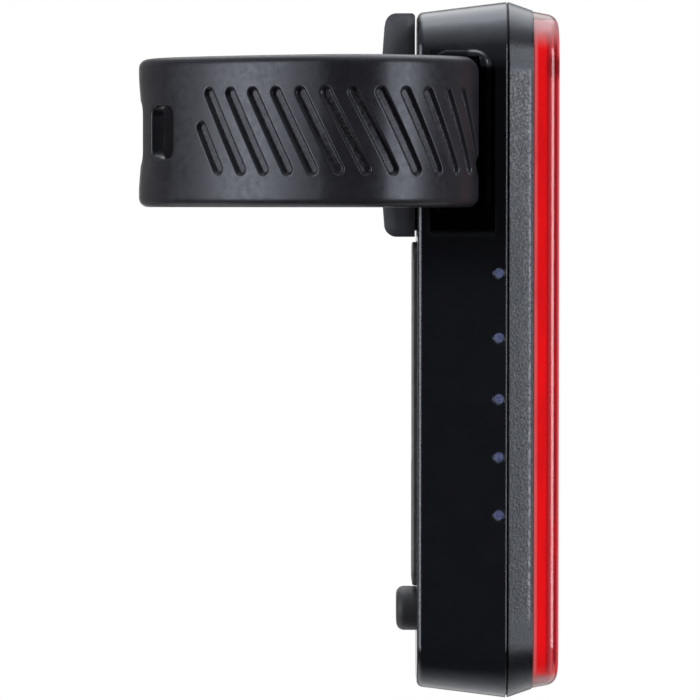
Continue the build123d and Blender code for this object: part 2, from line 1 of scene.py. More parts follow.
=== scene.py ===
from math import acos, atan2, cos, degrees, hypot, pi, radians, sin

import bmesh
import bpy
import numpy as np
from mathutils import Euler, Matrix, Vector


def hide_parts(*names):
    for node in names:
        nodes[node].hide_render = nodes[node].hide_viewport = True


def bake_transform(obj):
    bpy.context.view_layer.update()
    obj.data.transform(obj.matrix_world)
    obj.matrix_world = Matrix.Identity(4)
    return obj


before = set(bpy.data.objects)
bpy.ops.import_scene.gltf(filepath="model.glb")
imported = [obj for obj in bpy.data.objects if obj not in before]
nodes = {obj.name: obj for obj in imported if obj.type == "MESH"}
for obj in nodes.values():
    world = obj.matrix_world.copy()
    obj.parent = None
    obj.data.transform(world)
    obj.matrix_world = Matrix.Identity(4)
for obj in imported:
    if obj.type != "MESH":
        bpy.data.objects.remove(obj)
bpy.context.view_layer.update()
MM = 0.001
WHITE = (1.0, 1.0, 1.0, 1.0)


# ---------------------------------------------------------------- nodes for the object, the floor and the world
def map_range(tree, source, span, start, stop, smooth=False):
    """A value that goes from start to stop while its source crosses a span, and holds past both ends."""
    n = tree.nodes.new("ShaderNodeMapRange")
    if smooth:
        n.interpolation_type = "SMOOTHSTEP"
    for socket, value in zip(("From Min", "From Max", "To Min", "To Max"), (*span, start, stop)):
        n.inputs[socket].default_value = value
    tree.links.new(source, n.inputs["Value"])
    return n.outputs["Result"]


def calculate(tree, kind, *values):
    """A Math node of that kind; each value is a number or another socket."""
    n = tree.nodes.new("ShaderNodeMath")
    n.operation = kind
    for socket, value in zip(n.inputs, values):
        if isinstance(value, float):
            socket.default_value = value
        else:
            tree.links.new(value, socket)
    return n.outputs[0]


# ---------------------------------------------------------------- materials
NOISE_SPAN, FULL_SPAN = (0.3, 0.7), (0.0, 1.0)


class Shader:
    """A node material: a Principled shader with texture, roughness and bump in object space."""

    def __init__(self, name, colour, rough, metal=0.0):
        self.mat = bpy.data.materials.new(name)
        self.mat.use_nodes = True
        self.tree = self.mat.node_tree
        self.bsdf = self.tree.nodes["Principled BSDF"]
        self.set("Base Color", (*colour, 1.0))
        self.set("Roughness", rough)
        self.set("Metallic", metal)
        self.coords = self.tree.nodes.new("ShaderNodeTexCoord").outputs["Object"]
        self.normal = None

    def set(self, socket, value):
        self.bsdf.inputs[socket].default_value = value

    def link(self, a, b):
        self.tree.links.new(a, b)

    def drive(self, socket, source):
        """Let a mask or a texture lead one of the shader's sockets."""
        self.link(source, self.bsdf.inputs[socket])

    def stretch(self, scale):
        """Coordinates stretched along the axes, for brushed or drawn marks."""
        n = self.tree.nodes.new("ShaderNodeMapping")
        n.inputs["Scale"].default_value = scale
        self.link(self.coords, n.inputs["Vector"])
        return n.outputs["Vector"]

    def noise(self, size, detail=3.0, rough=0.55, coords=None):
        """Noise with spots of that size in millimetres."""
        n = self.tree.nodes.new("ShaderNodeTexNoise")
        n.inputs["Scale"].default_value = 1.0 / (size * MM)
        n.inputs["Detail"].default_value = detail
        n.inputs["Roughness"].default_value = rough
        self.link(coords or self.coords, n.inputs["Vector"])
        return n.outputs["Fac"]

    def cells(self, size):
        """Rounded cells of that size in millimetres."""
        n = self.tree.nodes.new("ShaderNodeTexVoronoi")
        n.inputs["Scale"].default_value = 1.0 / (size * MM)
        self.link(self.coords, n.inputs["Vector"])
        return n.outputs["Distance"]

    def bands(self, source, *stops):
        """Colours at places along a value from 0 to 1, given in order."""
        n = self.tree.nodes.new("ShaderNodeValToRGB")
        marks = n.color_ramp.elements
        for position, colour in stops[1:-1]:
            marks.new(position).color = (*colour, 1.0)
        for mark, (position, colour) in ((marks[0], stops[0]), (marks[-1], stops[-1])):
            mark.position = position
            mark.color = (*colour, 1.0)
        self.link(source, n.inputs["Fac"])
        return n.outputs["Color"]

    def spread(self, source, low, high, span=NOISE_SPAN):
        return map_range(self.tree, source, span, low, high)

    def along(self, axis, span, start=0.0, stop=1.0, smooth=True):
        """A rise from start to stop between two places, in millimetres, along an axis of the object."""
        split = self.tree.nodes.new("ShaderNodeSeparateXYZ")
        self.link(self.coords, split.inputs[0])
        places = [place * MM for place in span]
        return map_range(self.tree, split.outputs[axis], places, start, stop, smooth)

    def calc(self, kind, a, b):
        return calculate(self.tree, kind, a, b)

    def times(self, first, *others):
        for other in others:
            first = self.calc("MULTIPLY", first, other)
        return first

    def mixed(self, share, low, high):
        """One colour turning into another with a share; each is a colour or another socket."""
        n = self.tree.nodes.new("ShaderNodeMix")
        n.data_type = "RGBA"
        self.link(share, n.inputs["Factor"])
        for socket, value in ((n.inputs[6], low), (n.inputs[7], high)):
            if isinstance(value, tuple):
                socket.default_value = (*value, 1.0)
            else:
                self.link(value, socket)
        return n.outputs[2]

    def colour(self, source, low, high, stops=(0.35, 0.65)):
        self.drive("Base Color", self.bands(source, (stops[0], low), (stops[1], high)))

    def roughness(self, source, low, high):
        self.drive("Roughness", self.spread(source, low, high))

    def edges(self, radius):
        """Soft edges that catch the light."""
        n = self.tree.nodes.new("ShaderNodeBevel")
        n.samples = 4
        n.inputs["Radius"].default_value = radius * MM
        self.normal = n.outputs["Normal"]
        self.drive("Normal", self.normal)

    def bump(self, source, depth, strength=1.0):
        """A bump of that depth in millimetres, added to the ones before it."""
        n = self.tree.nodes.new("ShaderNodeBump")
        n.inputs["Strength"].default_value = strength
        n.inputs["Distance"].default_value = depth * MM
        self.link(source, n.inputs["Height"])
        if self.normal is not None:
            self.link(self.normal, n.inputs["Normal"])
        self.normal = n.outputs["Normal"]
        self.drive("Normal", self.normal)


# Where a look changes: from and to, in millimetres along an axis of the frame
STRAP_SHADE_Z, CASE_TOP_LIGHT_Z = (-22.0, -11.0), (7.8, 9.8)
BOSS_SIDE_Y, BOSS_BACK_X, BOSS_FRONT_X = (-9.0, -9.4), (19.4, 20.4), (28.9, 28.4)
BOSS_TOP_Z, BOSS_BOTTOM_Z = (11.0, 10.6), (-14.0, -12.4)
BOSS_CORNER_X, BOSS_CORNER_Z = (24.7, 25.7), (8.2, 9.4)
GRAIN_TOP_Z, GRAIN_BOTTOM_Z, GRAIN_TOP_LIGHT_Z = (7.1, 8.6), (-64.0, -60.6), (-18.0, 6.0)
BEZEL_FRONT_LIGHT_X, BEZEL_RIM_HIGHLIGHT_X, BEZEL_GAP_SHADE_X = (31.6, 33.4), (32.8, 32.95), (33.12, 33.2)
BEZEL_ENDS_TOP_LIGHT_Z = (-40.0, 0.0)
LENS_SIDE_X, LENS_NEAR_Y, LENS_FAR_Y = (33.5, 36.9), (-7.4, -8.4), (7.4, 8.4)
LENS_SHADE_LOW_Z, LENS_SHADE_HIGH_Z, LENS_SHADE_X = (6.2, 8.0), (10.6, 9.0), (34.8, 36.2)
LENS_TOP_SEE_THROUGH_Z, LENS_BOTTOM_SEE_THROUGH_Z = (10.4, 13.8), (-69.4, -70.6)
LENS_TOP_RIM_SHADE_Z, LENS_BOTTOM_RIM_SHADE_Z = (14.45, 14.62), (-70.86, -71.0)

COOL, COOLER = (0.84, 0.90, 1.0, 1.0), (0.80, 0.84, 1.0, 1.0)
HARD_SHINE = 0.9


def gloss_black():
    """Glossy case with painted light and shade: darker from the strap upwards (painted shade of the strap), lighter
    along the top edge (painted top light), and black metal round the boss that the band turns into, which reflects
    almost nothing there (painted shade), with the boss's top corner left glossy.
    """
    s = Shader("gloss_black", (0.005, 0.005, 0.008), 0.25)
    s.edges(0.4)
    # Darker from the strap upwards: painted shade of the strap.
    strap_shade, top = s.along("Z", STRAP_SHADE_Z), s.along("Z", CASE_TOP_LIGHT_Z)
    low = s.mixed(strap_shade, (0.0068, 0.0072, 0.0104), (0.0009, 0.0009, 0.0016))
    high = s.mixed(strap_shade, (0.0086, 0.0090, 0.0128), (0.0012, 0.0012, 0.0020))
    # Lighter along the top edge: painted top light.
    low = s.mixed(top, low, (0.0180, 0.0195, 0.0240))
    high = s.mixed(top, high, (0.0220, 0.0235, 0.0290))
    s.drive("Base Color", s.mixed(s.spread(s.noise(3.0, 2.0), 0.0, 1.0), low, high))
    # Round the boss, black metal that reflects almost nothing: painted shade; its top corner is left glossy.
    corner = s.times(s.along("X", BOSS_CORNER_X), s.along("Z", BOSS_CORNER_Z))
    boss = s.times(s.along("Y", BOSS_SIDE_Y), s.along("X", BOSS_FRONT_X), s.along("X", BOSS_BACK_X),
                   s.along("Z", BOSS_TOP_Z), s.along("Z", BOSS_BOTTOM_Z),
                   s.spread(corner, 1.0, 0.0, FULL_SPAN))
    s.drive("Metallic", boss)
    s.drive("Roughness", s.calc("ADD", s.spread(s.noise(1.2, 4.0), 0.15, 0.20), s.spread(boss, 0.0, 0.5, FULL_SPAN)))
    s.set("Specular IOR Level", HARD_SHINE)
    s.set("Specular Tint", COOL)
    s.bump(s.noise(0.7, 2.0), 0.002)
    return s.mat


def textured_grey():
    """Spark-eroded plastic: coarse grain on the long sides that fades out towards both ends, with painted light: paler
    towards the top and towards the front edge, a painted highlight along the front rim, the smooth ends lighter towards
    the top, and a painted shadow line at the gap to the lens.
    """
    s = Shader("textured_grey", (0.05, 0.05, 0.054), 0.5)
    s.edges(0.15)
    grain = s.calc("ADD", s.noise(0.34, 3.0, 0.68), s.spread(s.noise(1.6, 2.0), -0.05, 0.05))
    sides = s.times(s.along("Z", GRAIN_TOP_Z, 1.0, 0.0), s.along("Z", GRAIN_BOTTOM_Z))
    # Paler towards the top: painted top light.
    painted_top_light = s.along("Z", GRAIN_TOP_LIGHT_Z)
    left = s.mixed(painted_top_light,
                   s.bands(grain, (0.46, (0.005, 0.005, 0.007)), (0.72, (0.062, 0.061, 0.074))),
                   s.bands(grain, (0.45, (0.030, 0.030, 0.036)), (0.72, (0.27, 0.267, 0.30))))
    right = s.mixed(painted_top_light,
                    s.bands(grain, (0.44, (0.012, 0.012, 0.016)), (0.70, (0.17, 0.166, 0.20))),
                    s.bands(grain, (0.44, (0.045, 0.045, 0.054)), (0.70, (0.40, 0.396, 0.43))))
    # Paler towards the front edge, where the sloping side faces the lamp: painted light.
    skin = s.mixed(s.along("X", BEZEL_FRONT_LIGHT_X), left, right)
    # A painted highlight along the front rim.
    rim = s.times(s.along("X", BEZEL_RIM_HIGHLIGHT_X), s.spread(s.noise(0.6, 2.0), 0.2, 1.0, (0.42, 0.58)))
    skin = s.mixed(rim, skin, (0.30, 0.29, 0.33))
    # The smooth ends get lighter towards the top: painted top light.
    ends = s.mixed(s.along("Z", BEZEL_ENDS_TOP_LIGHT_Z), (0.008, 0.008, 0.011), (0.018, 0.019, 0.024))
    skin = s.mixed(sides, ends, skin)
    # A painted shadow line at the gap to the lens.
    s.drive("Base Color", s.mixed(s.along("X", BEZEL_GAP_SHADE_X), skin, (0.003, 0.003, 0.004)))
    s.drive("Roughness", s.calc("ADD", s.spread(s.noise(0.3, 2.0), 0.26, 0.32), s.spread(sides, 0.0, 0.18, FULL_SPAN)))
    s.bump(s.times(grain, sides), 0.09, 0.8)
    s.bump(s.times(s.cells(0.3), sides), 0.04, 0.5)
    s.set("Specular IOR Level", HARD_SHINE)
    s.set("Specular Tint", COOL)
    return s.mat


def silicone(name, low, high, rough, shine=0.5, edge=0.0, grain=0.006, mottle=4.0):
    """Soft rubber; edge, grain and mottle are the bevel, the bump's depth and the spots' size in millimetres."""
    s = Shader(name, low, rough)
    if edge:
        s.edges(edge)
    s.colour(s.noise(mottle, 4.0), low, high)
    s.roughness(s.noise(0.9, 4.0), rough - 0.05, rough + 0.06)
    s.bump(s.noise(0.13, 2.0), grain, 0.8)
    s.set("Specular IOR Level", shine)
    s.set("Specular Tint", COOLER)
    return s.mat


def red_lens():
    """Clear red plastic, plain in front, with painted light: bands of painted highlight, reflection and shade along its
    sides, a painted dark patch near the top, paler painted light seen through both ends, a painted dark outline at the
    top and bottom edges, and a faint painted glow though the lamp is off.
    """
    s = Shader("red_lens", (0.95, 0.012, 0.016), 0.05)
    s.edges(0.25)
    red, dark_red, plain_red = (1.0, 0.010, 0.014), (0.62, 0.010, 0.014), (0.90, 0.008, 0.012)
    # Along the sides, painted bands of highlight, reflection and shade across the depth; noise darkens them in patches.
    side = s.bands(s.along("X", LENS_SIDE_X, smooth=False),
                   (0.0, (0.30, 0.006, 0.012)), (0.06, (0.90, 0.16, 0.18)), (0.12, (0.95, 0.12, 0.13)),
                   (0.17, red), (0.45, red), (0.54, (0.42, 0.010, 0.018)), (0.64, (0.50, 0.06, 0.08)),
                   (0.72, (0.70, 0.12, 0.14)), (0.79, (0.30, 0.010, 0.02)), (0.87, (0.22, 0.008, 0.016)),
                   (0.93, (0.55, 0.06, 0.08)), (0.97, (0.86, 0.22, 0.24)), (1.0, (0.92, 0.30, 0.32)))
    streak = s.noise(2.2, 3.0, 0.6, s.stretch((1.0, 1.0, 0.22)))
    side = s.mixed(s.spread(streak, 0.0, 0.35, (0.48, 0.66)), side, dark_red)
    # A painted dark patch of shade near the top of the side.
    painted_dark_patch = s.times(s.along("Z", LENS_SHADE_LOW_Z), s.along("Z", LENS_SHADE_HIGH_Z), s.along("X", LENS_SHADE_X))
    side = s.mixed(painted_dark_patch, side, (0.20, 0.0, 0.006))
    flank = s.calc("MAXIMUM", s.along("Y", LENS_NEAR_Y), s.along("Y", LENS_FAR_Y))
    body = s.mixed(flank, s.mixed(s.noise(3.0, 2.0), plain_red, red), side)
    # Paler at both ends: painted light seen through the lens.
    ends = s.calc("MAXIMUM", s.along("Z", LENS_TOP_SEE_THROUGH_Z), s.along("Z", LENS_BOTTOM_SEE_THROUGH_Z))
    body = s.mixed(ends, body, (0.66, 0.30, 0.32))
    # A painted dark outline of shade at the top and bottom edges.
    rim = s.calc("MAXIMUM", s.along("Z", LENS_TOP_RIM_SHADE_Z), s.along("Z", LENS_BOTTOM_RIM_SHADE_Z))
    s.drive("Base Color", s.mixed(rim, body, (0.22, 0.12, 0.125)))
    # A faint painted glow: the unlit lens gives off red light, following the painted side bands.
    glow = s.mixed(flank, (0.30, 0.003, 0.004), side)
    s.drive("Emission Color", s.mixed(ends, glow, (0.12, 0.05, 0.055)))
    s.set("Emission Strength", 0.24)
    s.set("Transmission Weight", 0.38)
    s.set("IOR", 1.49)
    s.set("Coat Weight", 0.1)
    s.set("Coat Roughness", 0.04)
    s.roughness(s.noise(2.0, 2.0), 0.04, 0.08)
    s.bump(s.noise(1.5, 2.0), 0.001)
    return s.mat


def moulded(name, low, high, rough, size=0.3, depth=0.004):
    """Plain moulded plastic; size and depth are the bump's, in millimetres."""
    s = Shader(name, low, rough)
    s.edges(0.1)
    s.colour(s.noise(2.0, 4.0), low, high)
    s.roughness(s.noise(0.6, 3.0), rough - 0.05, rough + 0.06)
    s.bump(s.noise(size, 3.0), depth)
    return s.mat


def metal(name, low, high, rough, stretch=(1.0, 1.0, 0.08)):
    """Metal with drawn marks along its height, or a plain grain where nothing is stretched."""
    s = Shader(name, low, rough, 1.0)
    drawn = s.noise(0.2, 3.0, 0.6, s.stretch(stretch))
    s.colour(drawn, low, high)
    s.roughness(drawn, rough - 0.06, rough + 0.08)
    s.bump(drawn, 0.002)
    return s.mat


def clear_tip():
    """The small dots of the charge display, unlit."""
    s = Shader("clear_tip", (0.10, 0.12, 0.24), 0.3)
    s.colour(s.noise(0.5, 2.0), (0.075, 0.09, 0.19), (0.15, 0.18, 0.33))
    s.roughness(s.noise(0.4, 2.0), 0.18, 0.34)
    s.bump(s.noise(0.4, 2.0), 0.004)
    return s.mat


black_case = gloss_black()
bezel_grey = textured_grey()
band_rubber = silicone("band_rubber", (0.016, 0.016, 0.020), (0.023, 0.023, 0.028), rough=0.34, shine=0.45)
groove_rubber = silicone("groove_rubber", (0.006, 0.006, 0.008), (0.055, 0.055, 0.064), rough=0.42, shine=0.42,
                         grain=0.03, mottle=0.45)
pad_rubber = silicone("pad_rubber", (0.100, 0.103, 0.117), (0.122, 0.126, 0.142), rough=0.40, edge=2.4)
button_rubber = silicone("button_rubber", (0.042, 0.042, 0.045), (0.054, 0.054, 0.058), rough=0.50, shine=0.45,
                         edge=0.7)
seal_rubber = silicone("seal_rubber", (0.006, 0.006, 0.007), (0.010, 0.010, 0.011), rough=0.6)
strip_satin = moulded("strip_satin", (0.080, 0.080, 0.086), (0.110, 0.110, 0.118), rough=0.34)
lens_red = red_lens()
white_gloss = moulded("white_gloss", (0.80, 0.80, 0.79), (0.86, 0.86, 0.85), rough=0.3, size=0.8, depth=0.003)
frosted = moulded("frosted", (0.74, 0.32, 0.31), (0.82, 0.38, 0.36), rough=0.6, size=0.2, depth=0.01)
board_white = moulded("board_white", (0.74, 0.75, 0.77), (0.80, 0.81, 0.82), rough=0.4)
board_green = moulded("board_green", (0.015, 0.13, 0.06), (0.025, 0.18, 0.08), rough=0.35)
steel = metal("steel", (0.50, 0.50, 0.52), (0.62, 0.62, 0.63), rough=0.28)
gilt = metal("gilt", (0.76, 0.56, 0.22), (0.86, 0.66, 0.30), rough=0.25)
chip_yellow = moulded("chip_yellow", (0.84, 0.78, 0.42), (0.92, 0.88, 0.55), rough=0.35)
black_moulded = moulded("black_moulded", (0.022, 0.022, 0.022), (0.034, 0.034, 0.034), rough=0.45)
foil = metal("foil", (0.55, 0.55, 0.57), (0.66, 0.66, 0.68), rough=0.34, stretch=(1.0, 1.0, 1.0))
foam = silicone("foam", (0.07, 0.07, 0.07), (0.12, 0.12, 0.12), rough=0.8)
wire_red = moulded("wire_red", (0.50, 0.02, 0.02), (0.62, 0.04, 0.04), rough=0.4)
clear_dots = clear_tip()

LOOKS = {
    "rear_housing": black_case,
    "bezel": bezel_grey,
    "lens": lens_red,
    "strap": band_rubber,
    "strap_tail": band_rubber,
    "strap_pin": steel,
    "cradle_pad": pad_rubber,
    "back_plate": strip_satin,
    "power_button": button_rubber,
    "port_cover": button_rubber,
    "gauge_light_pipe": clear_dots,
    "seam_seal": seal_rubber,
    "lens_seal": seal_rubber,
    "diffuser": frosted,
    "reflector": white_gloss,
    "led_board": board_white,
    "led_chips": chip_yellow,
    "main_board": board_green,
    "board_screws": steel,
    "board_header": gilt,
    "usb_socket": steel,
    "mode_switch": black_moulded,
    "switch_plunger": white_gloss,
    "battery": foil,
    "battery_tape": foam,
    "battery_connector": white_gloss,
    "battery_leads": wire_red,
    "gauge_leds": chip_yellow,
}
for name, look in LOOKS.items():
    data = nodes[name].data
    data.materials.clear()
    data.materials.append(look)


# ---------------------------------------------------------------- camera, in millimetres
TARGET, EYE = (9.95, 0.0, -28.19), (9.95, -650.0, -9.6)
LENS, SENSOR, ROLL = 256.5, 36.0, radians(0.05)
CLIP_START, CLIP_END = 10.0, 20000.0


def turned_to(eye, target):
    """The rotation that faces a camera or a lamp from one place to another."""
    return (Vector(target) - Vector(eye)).to_track_quat("-Z", "Y")


cam = bpy.data.objects.new("camera", bpy.data.cameras.new("camera"))
bpy.context.scene.collection.objects.link(cam)
cam.location = Vector(EYE) * MM
cam.rotation_mode = "QUATERNION"
cam.rotation_quaternion = turned_to(Vector(EYE) * MM, Vector(TARGET) * MM) @ Euler((0.0, 0.0, ROLL)).to_quaternion()
cam.data.sensor_width = SENSOR
cam.data.lens = LENS
cam.data.clip_start, cam.data.clip_end = CLIP_START * MM, CLIP_END * MM
bpy.context.scene.camera = cam
bpy.context.scene.view_settings.view_transform = "Standard"


# ---------------------------------------------------------------- light and floor
# The lamps, the floor's radius and its height are in metres, and the floor's fade in millimetres
LAMP_AIM = (0.0, 0.0, -0.02)
FLOOR_R, FLOOR_Z, FLOOR_FADE_Y, FLOOR_SIDES = 0.24, -0.200, (-90.0, 110.0), 96
# The world's spans are of a direction's X, Y and Z, from -1 to 1
TOP_LIGHT, TOP_FADE = 3.1, 20.0
CEILING_Z, CEILING_WIDE, CEILING_MIDDLE, CEILING_SIDES = (0.35, 0.75), (0.30, 0.62), 0.08, 0.15
ROOM_Y, ROOM_DARK, ROOM_PALE = (-0.2, 0.7), 0.035, 0.22
MIRRORED_Y = (0.92, 0.98)


def lamp(name, place, size, power):
    """A soft box turned to the object."""
    data = bpy.data.lights.new(name, "AREA")
    data.shape = "RECTANGLE"
    data.size, data.size_y = size
    data.energy = power
    obj = bpy.data.objects.new(name, data)
    bpy.context.scene.collection.objects.link(obj)
    obj.location = place
    obj.rotation_mode = "QUATERNION"
    obj.rotation_quaternion = turned_to(place, LAMP_AIM)


def studio_world():
    """A dim room with one soft ceiling light, and a white backdrop that the camera sees."""
    world = bpy.data.worlds.new("studio")
    bpy.context.scene.world = world
    world.use_nodes = True
    tree = world.node_tree
    tree.nodes.clear()
    out = tree.nodes.new("ShaderNodeOutputWorld")
    background = tree.nodes.new("ShaderNodeBackground")
    coords = tree.nodes.new("ShaderNodeTexCoord")
    direction = tree.nodes.new("ShaderNodeSeparateXYZ")
    tree.links.new(coords.outputs["Generated"], direction.inputs[0])
    x, y, z = (direction.outputs[axis] for axis in "XYZ")

    def rise(source, span, start, stop):
        return map_range(tree, source, span, start, stop, smooth=True)

    def calc(kind, *values):
        return calculate(tree, kind, *values)

    # The ceiling is brightest overhead and behind, and fades towards the camera and to both sides
    fade = calc("POWER", TOP_FADE, calc("MINIMUM", y, 0.0))
    ceiling = calc("MULTIPLY", calc("MULTIPLY", fade, TOP_LIGHT), rise(z, CEILING_Z, 0.0, 1.0))
    sideways = calc("ABSOLUTE", calc("SUBTRACT", x, CEILING_MIDDLE))
    ceiling = calc("MULTIPLY", ceiling, rise(sideways, CEILING_WIDE, 1.0, CEILING_SIDES))
    # The backdrop is white to the camera, through clear pieces, and in gloss where it stands behind the object
    path = tree.nodes.new("ShaderNodeLightPath").outputs
    white = calc("MAXIMUM", path["Is Camera Ray"], path["Is Transmission Ray"])
    mirrored = calc("MULTIPLY", path["Is Glossy Ray"], rise(y, MIRRORED_Y, 0.0, 1.0))
    room = calc("MAXIMUM", calc("MAXIMUM", white, mirrored), rise(y, ROOM_Y, ROOM_DARK, ROOM_PALE))
    lit = calc("MULTIPLY", ceiling, calc("SUBTRACT", 1.0, path["Is Camera Ray"]))
    tree.links.new(calc("MAXIMUM", room, lit), background.inputs["Strength"])
    background.inputs["Color"].default_value = WHITE
    tree.links.new(background.outputs[0], out.inputs["Surface"])


def floor_material():
    """Pale floor that thins out towards the camera."""
    s = Shader("floor_white", (0.86, 0.86, 0.86), 0.6)
    s.colour(s.noise(40.0, 2.0), (0.85, 0.85, 0.85), (0.87, 0.87, 0.87))
    s.bump(s.noise(5.0, 2.0), 0.02)
    s.drive("Alpha", s.along("Y", FLOOR_FADE_Y))
    return s.mat


def add_floor():
    mesh = bpy.data.meshes.new("floor")
    turns = [2 * pi * k / FLOOR_SIDES for k in range(FLOOR_SIDES)]
    mesh.from_pydata([(FLOOR_R * cos(a), FLOOR_R * sin(a), FLOOR_Z) for a in turns], [], [list(range(FLOOR_SIDES))])
    obj = bpy.data.objects.new("floor", mesh)
    bpy.context.scene.collection.objects.link(obj)
    mesh.materials.append(floor_material())


lamp("left_box", place=(-0.54, -0.225, 0.02), size=(0.20, 0.50), power=2.3)
lamp("right_box", place=(0.57, -0.36, 0.02), size=(0.26, 0.50), power=2.8)
studio_world()
add_floor()


# ---------------------------------------------------------------- the strap as one unbroken band, in millimetres
POST_R, THICK, TALL = 15.45, 2.1, 19.2
OUTER_ROUND, INNER_ROUND, OUTER_ROUND_STEPS, INNER_ROUND_STEPS = 1.2, 0.5, 5, 3
FLANK_R, SHOULDER_R, SHOULDER_X, SHOULDER_OUT, SHOULDER_TURN = 60.0, 11.0, 10.5, 15.3, 24.0
CHEEK_R, FOOT_TURN, TAIL_TURN, TAIL_BEND_R, TAB_TURN, TAB_LONG = 20.7, 75.0, 54.0, 7.0, 5.0, 8.0
SLOT_LONG, SLOT_TALL, SLOT_CORNER, SLOT_RIM, NOSE_RIM = 5.4, 6.8, 1.3, 0.4, 0.9
# Middles of the slots, as distances round from the nose: minus is the near side
SLOTS = (-10.5, 0.0, 19.6, 29.4, 39.2, 49.0, 58.8)
GROOVE_PITCH, GROOVE_FIRST, GROOVE_COUNT, GROOVE_TALL = 3.51, 22.4, 12, 9.6
GROOVE_WIDE, GROOVE_DEEP, GROOVE_WALL, GROOVE_LEAN = 1.65, 0.56, 0.42, radians(28.0)
SHORT_TALL, SHORT_DROP, FLOOR_SHARE = 5.9, 2.1, 0.8
FOOT_RUN, FOOT_FACE_X, FOOT_LONG, FOOT_Z = 2.43, 26.4, 12.0, (4.5, 8.4)
FOOT_TOP_ROUND, FOOT_BOTTOM_ROUND = 0.9, 0.35
DISH_DEEP, DISH_S, DISH_Z = 0.28, (15.0, 6.0), (7.8, 2.8)
BAND_R, FLAT = POST_R + THICK, TALL / 2 - OUTER_ROUND
# The grid: a slot's patch is cut out of it, and its points stand closer together at the grooves
PATCH_S, PATCH_Z, FINE_Z = 4.2, 5.2, 6.3
GROOVE_STEP, PLAIN_STEP, FINE_ROW, EDGE_ROW = 0.13, 0.42, 0.15, 0.4
RIM_SHARES, WALL_SHARES, SLOT_ROUND_STEPS, BACK_SHARE = (0.35, 0.65, 0.85, 0.95, 1.0), (0.33, 0.66, 1.0), 5, 0.5
HALVINGS = 30


def bends(last_slope):
    """Nose, flank, shoulder and cheek as (centre x, centre w, radius, first slope, last slope).

    w is the distance out from the middle plane, the same on both sides, and slopes are in degrees.
    """
    span = hypot(SHOULDER_X, SHOULDER_OUT)
    a, b = FLANK_R - BAND_R, FLANK_R - SHOULDER_R
    along = (a * a - b * b + span * span) / (2 * span)
    bearing = atan2(SHOULDER_OUT, SHOULDER_X) - acos(along / a)
    fx, fw = a * cos(bearing), a * sin(bearing)
    nose_end = degrees(atan2(fx, -fw))
    flank_end = degrees(atan2(fx - SHOULDER_X, SHOULDER_OUT - fw))
    turn = radians(SHOULDER_TURN)
    return [
        (0.0, 0.0, BAND_R, 90.0, nose_end),
        (fx, fw, FLANK_R, nose_end, flank_end),
        (SHOULDER_X, SHOULDER_OUT, SHOULDER_R, flank_end, -SHOULDER_TURN),
        (SHOULDER_X - (CHEEK_R - SHOULDER_R) * sin(turn), SHOULDER_OUT - (CHEEK_R - SHOULDER_R) * cos(turn),
         CHEEK_R, -SHOULDER_TURN, last_slope),
    ]


def on_bend(bend, slope):
    """Point (x, w) of a bend where it has that slope."""
    x, w, r = bend[:3]
    return x - r * sin(radians(slope)), w + r * cos(radians(slope))


NEAR, FAR = bends(-FOOT_TURN), bends(-TAIL_TURN)
FAR.append((*on_bend((*FAR[-1][:2], FAR[-1][2] + TAIL_BEND_R), -TAIL_TURN), -TAIL_BEND_R, -TAIL_TURN, -TAB_TURN))


def bend_long(bend):
    """Length of a bend along the outer face."""
    return abs(radians(bend[3] - bend[4]) * bend[2])


NEAR_LONG, FAR_LONG = sum(map(bend_long, NEAR)), sum(map(bend_long, FAR))
BAND_FROM, BAND_TO = -(NEAR_LONG + FOOT_RUN), FAR_LONG + TAB_LONG
GROOVES_FROM, GROOVES_TO = -NEAR_LONG, -(GROOVE_FIRST - 2 * GROOVE_PITCH)


def place(s):
    """Point of the outer face and slope, a signed distance from the nose: minus is the near side."""
    side, run, chain = (-1, -s, NEAR) if s < 0 else (1, s, FAR)
    for bend in chain:
        size = bend_long(bend)
        if run <= size:
            slope = bend[3] + (bend[4] - bend[3]) * run / size
            x, w = on_bend(bend, slope)
            return x, side * w, slope, side
        run -= size
    slope = chain[-1][4]
    x, w = on_bend(chain[-1], slope)
    return x + run * cos(radians(slope)), side * (w + run * sin(radians(slope))), slope, side


def lay(points):
    """Band points (distance, depth inside the outer face, height) as places in the frame, in metres."""
    made = np.empty((len(points), 3))
    cache = {}
    for k, (s, depth, z) in enumerate(points):
        key = round(s, 6)
        if key not in cache:
            x, y, slope, side = place(s)
            cache[key] = (x, y, sin(radians(slope)), -side * cos(radians(slope)))
        x, y, nx, ny = cache[key]
        made[k] = (x + nx * depth, y + ny * depth, z)
    return made * MM


def ease(value, start, stop):
    """0 at start, 1 at stop, smooth between."""
    t = max(0.0, min(1.0, (value - start) / (stop - start)))
    return t * t * (3.0 - 2.0 * t)


def groove_depth(s, z):
    """How deep the slanting grooves go below the outer face at a point of the near side."""
    if s > -GROOVE_FIRST + 3 * GROOVE_PITCH or abs(z) > GROOVE_TALL / 2 + GROOVE_WIDE:
        return 0.0
    deepest = 0.0
    lean_x, lean_z = sin(GROOVE_LEAN), cos(GROOVE_LEAN)
    for n in range(-1, GROOVE_COUNT):
        centre_u, centre_z = GROOVE_FIRST + n * GROOVE_PITCH, 0.0
        half = GROOVE_TALL / cos(GROOVE_LEAN) / 2
        if n < 0:
            centre_u, centre_z, half = centre_u + SHORT_DROP * lean_x, -SHORT_DROP, SHORT_TALL / 2
        u, v = -s - centre_u, z - centre_z
        along = max(-half, min(half, u * lean_x - v * lean_z))
        gap = hypot(u - along * lean_x, v + along * lean_z)
        if gap < GROOVE_WIDE / 2:
            deepest = max(deepest, GROOVE_DEEP * ease(GROOVE_WIDE / 2 - gap, 0.0, GROOVE_WALL))
    return deepest


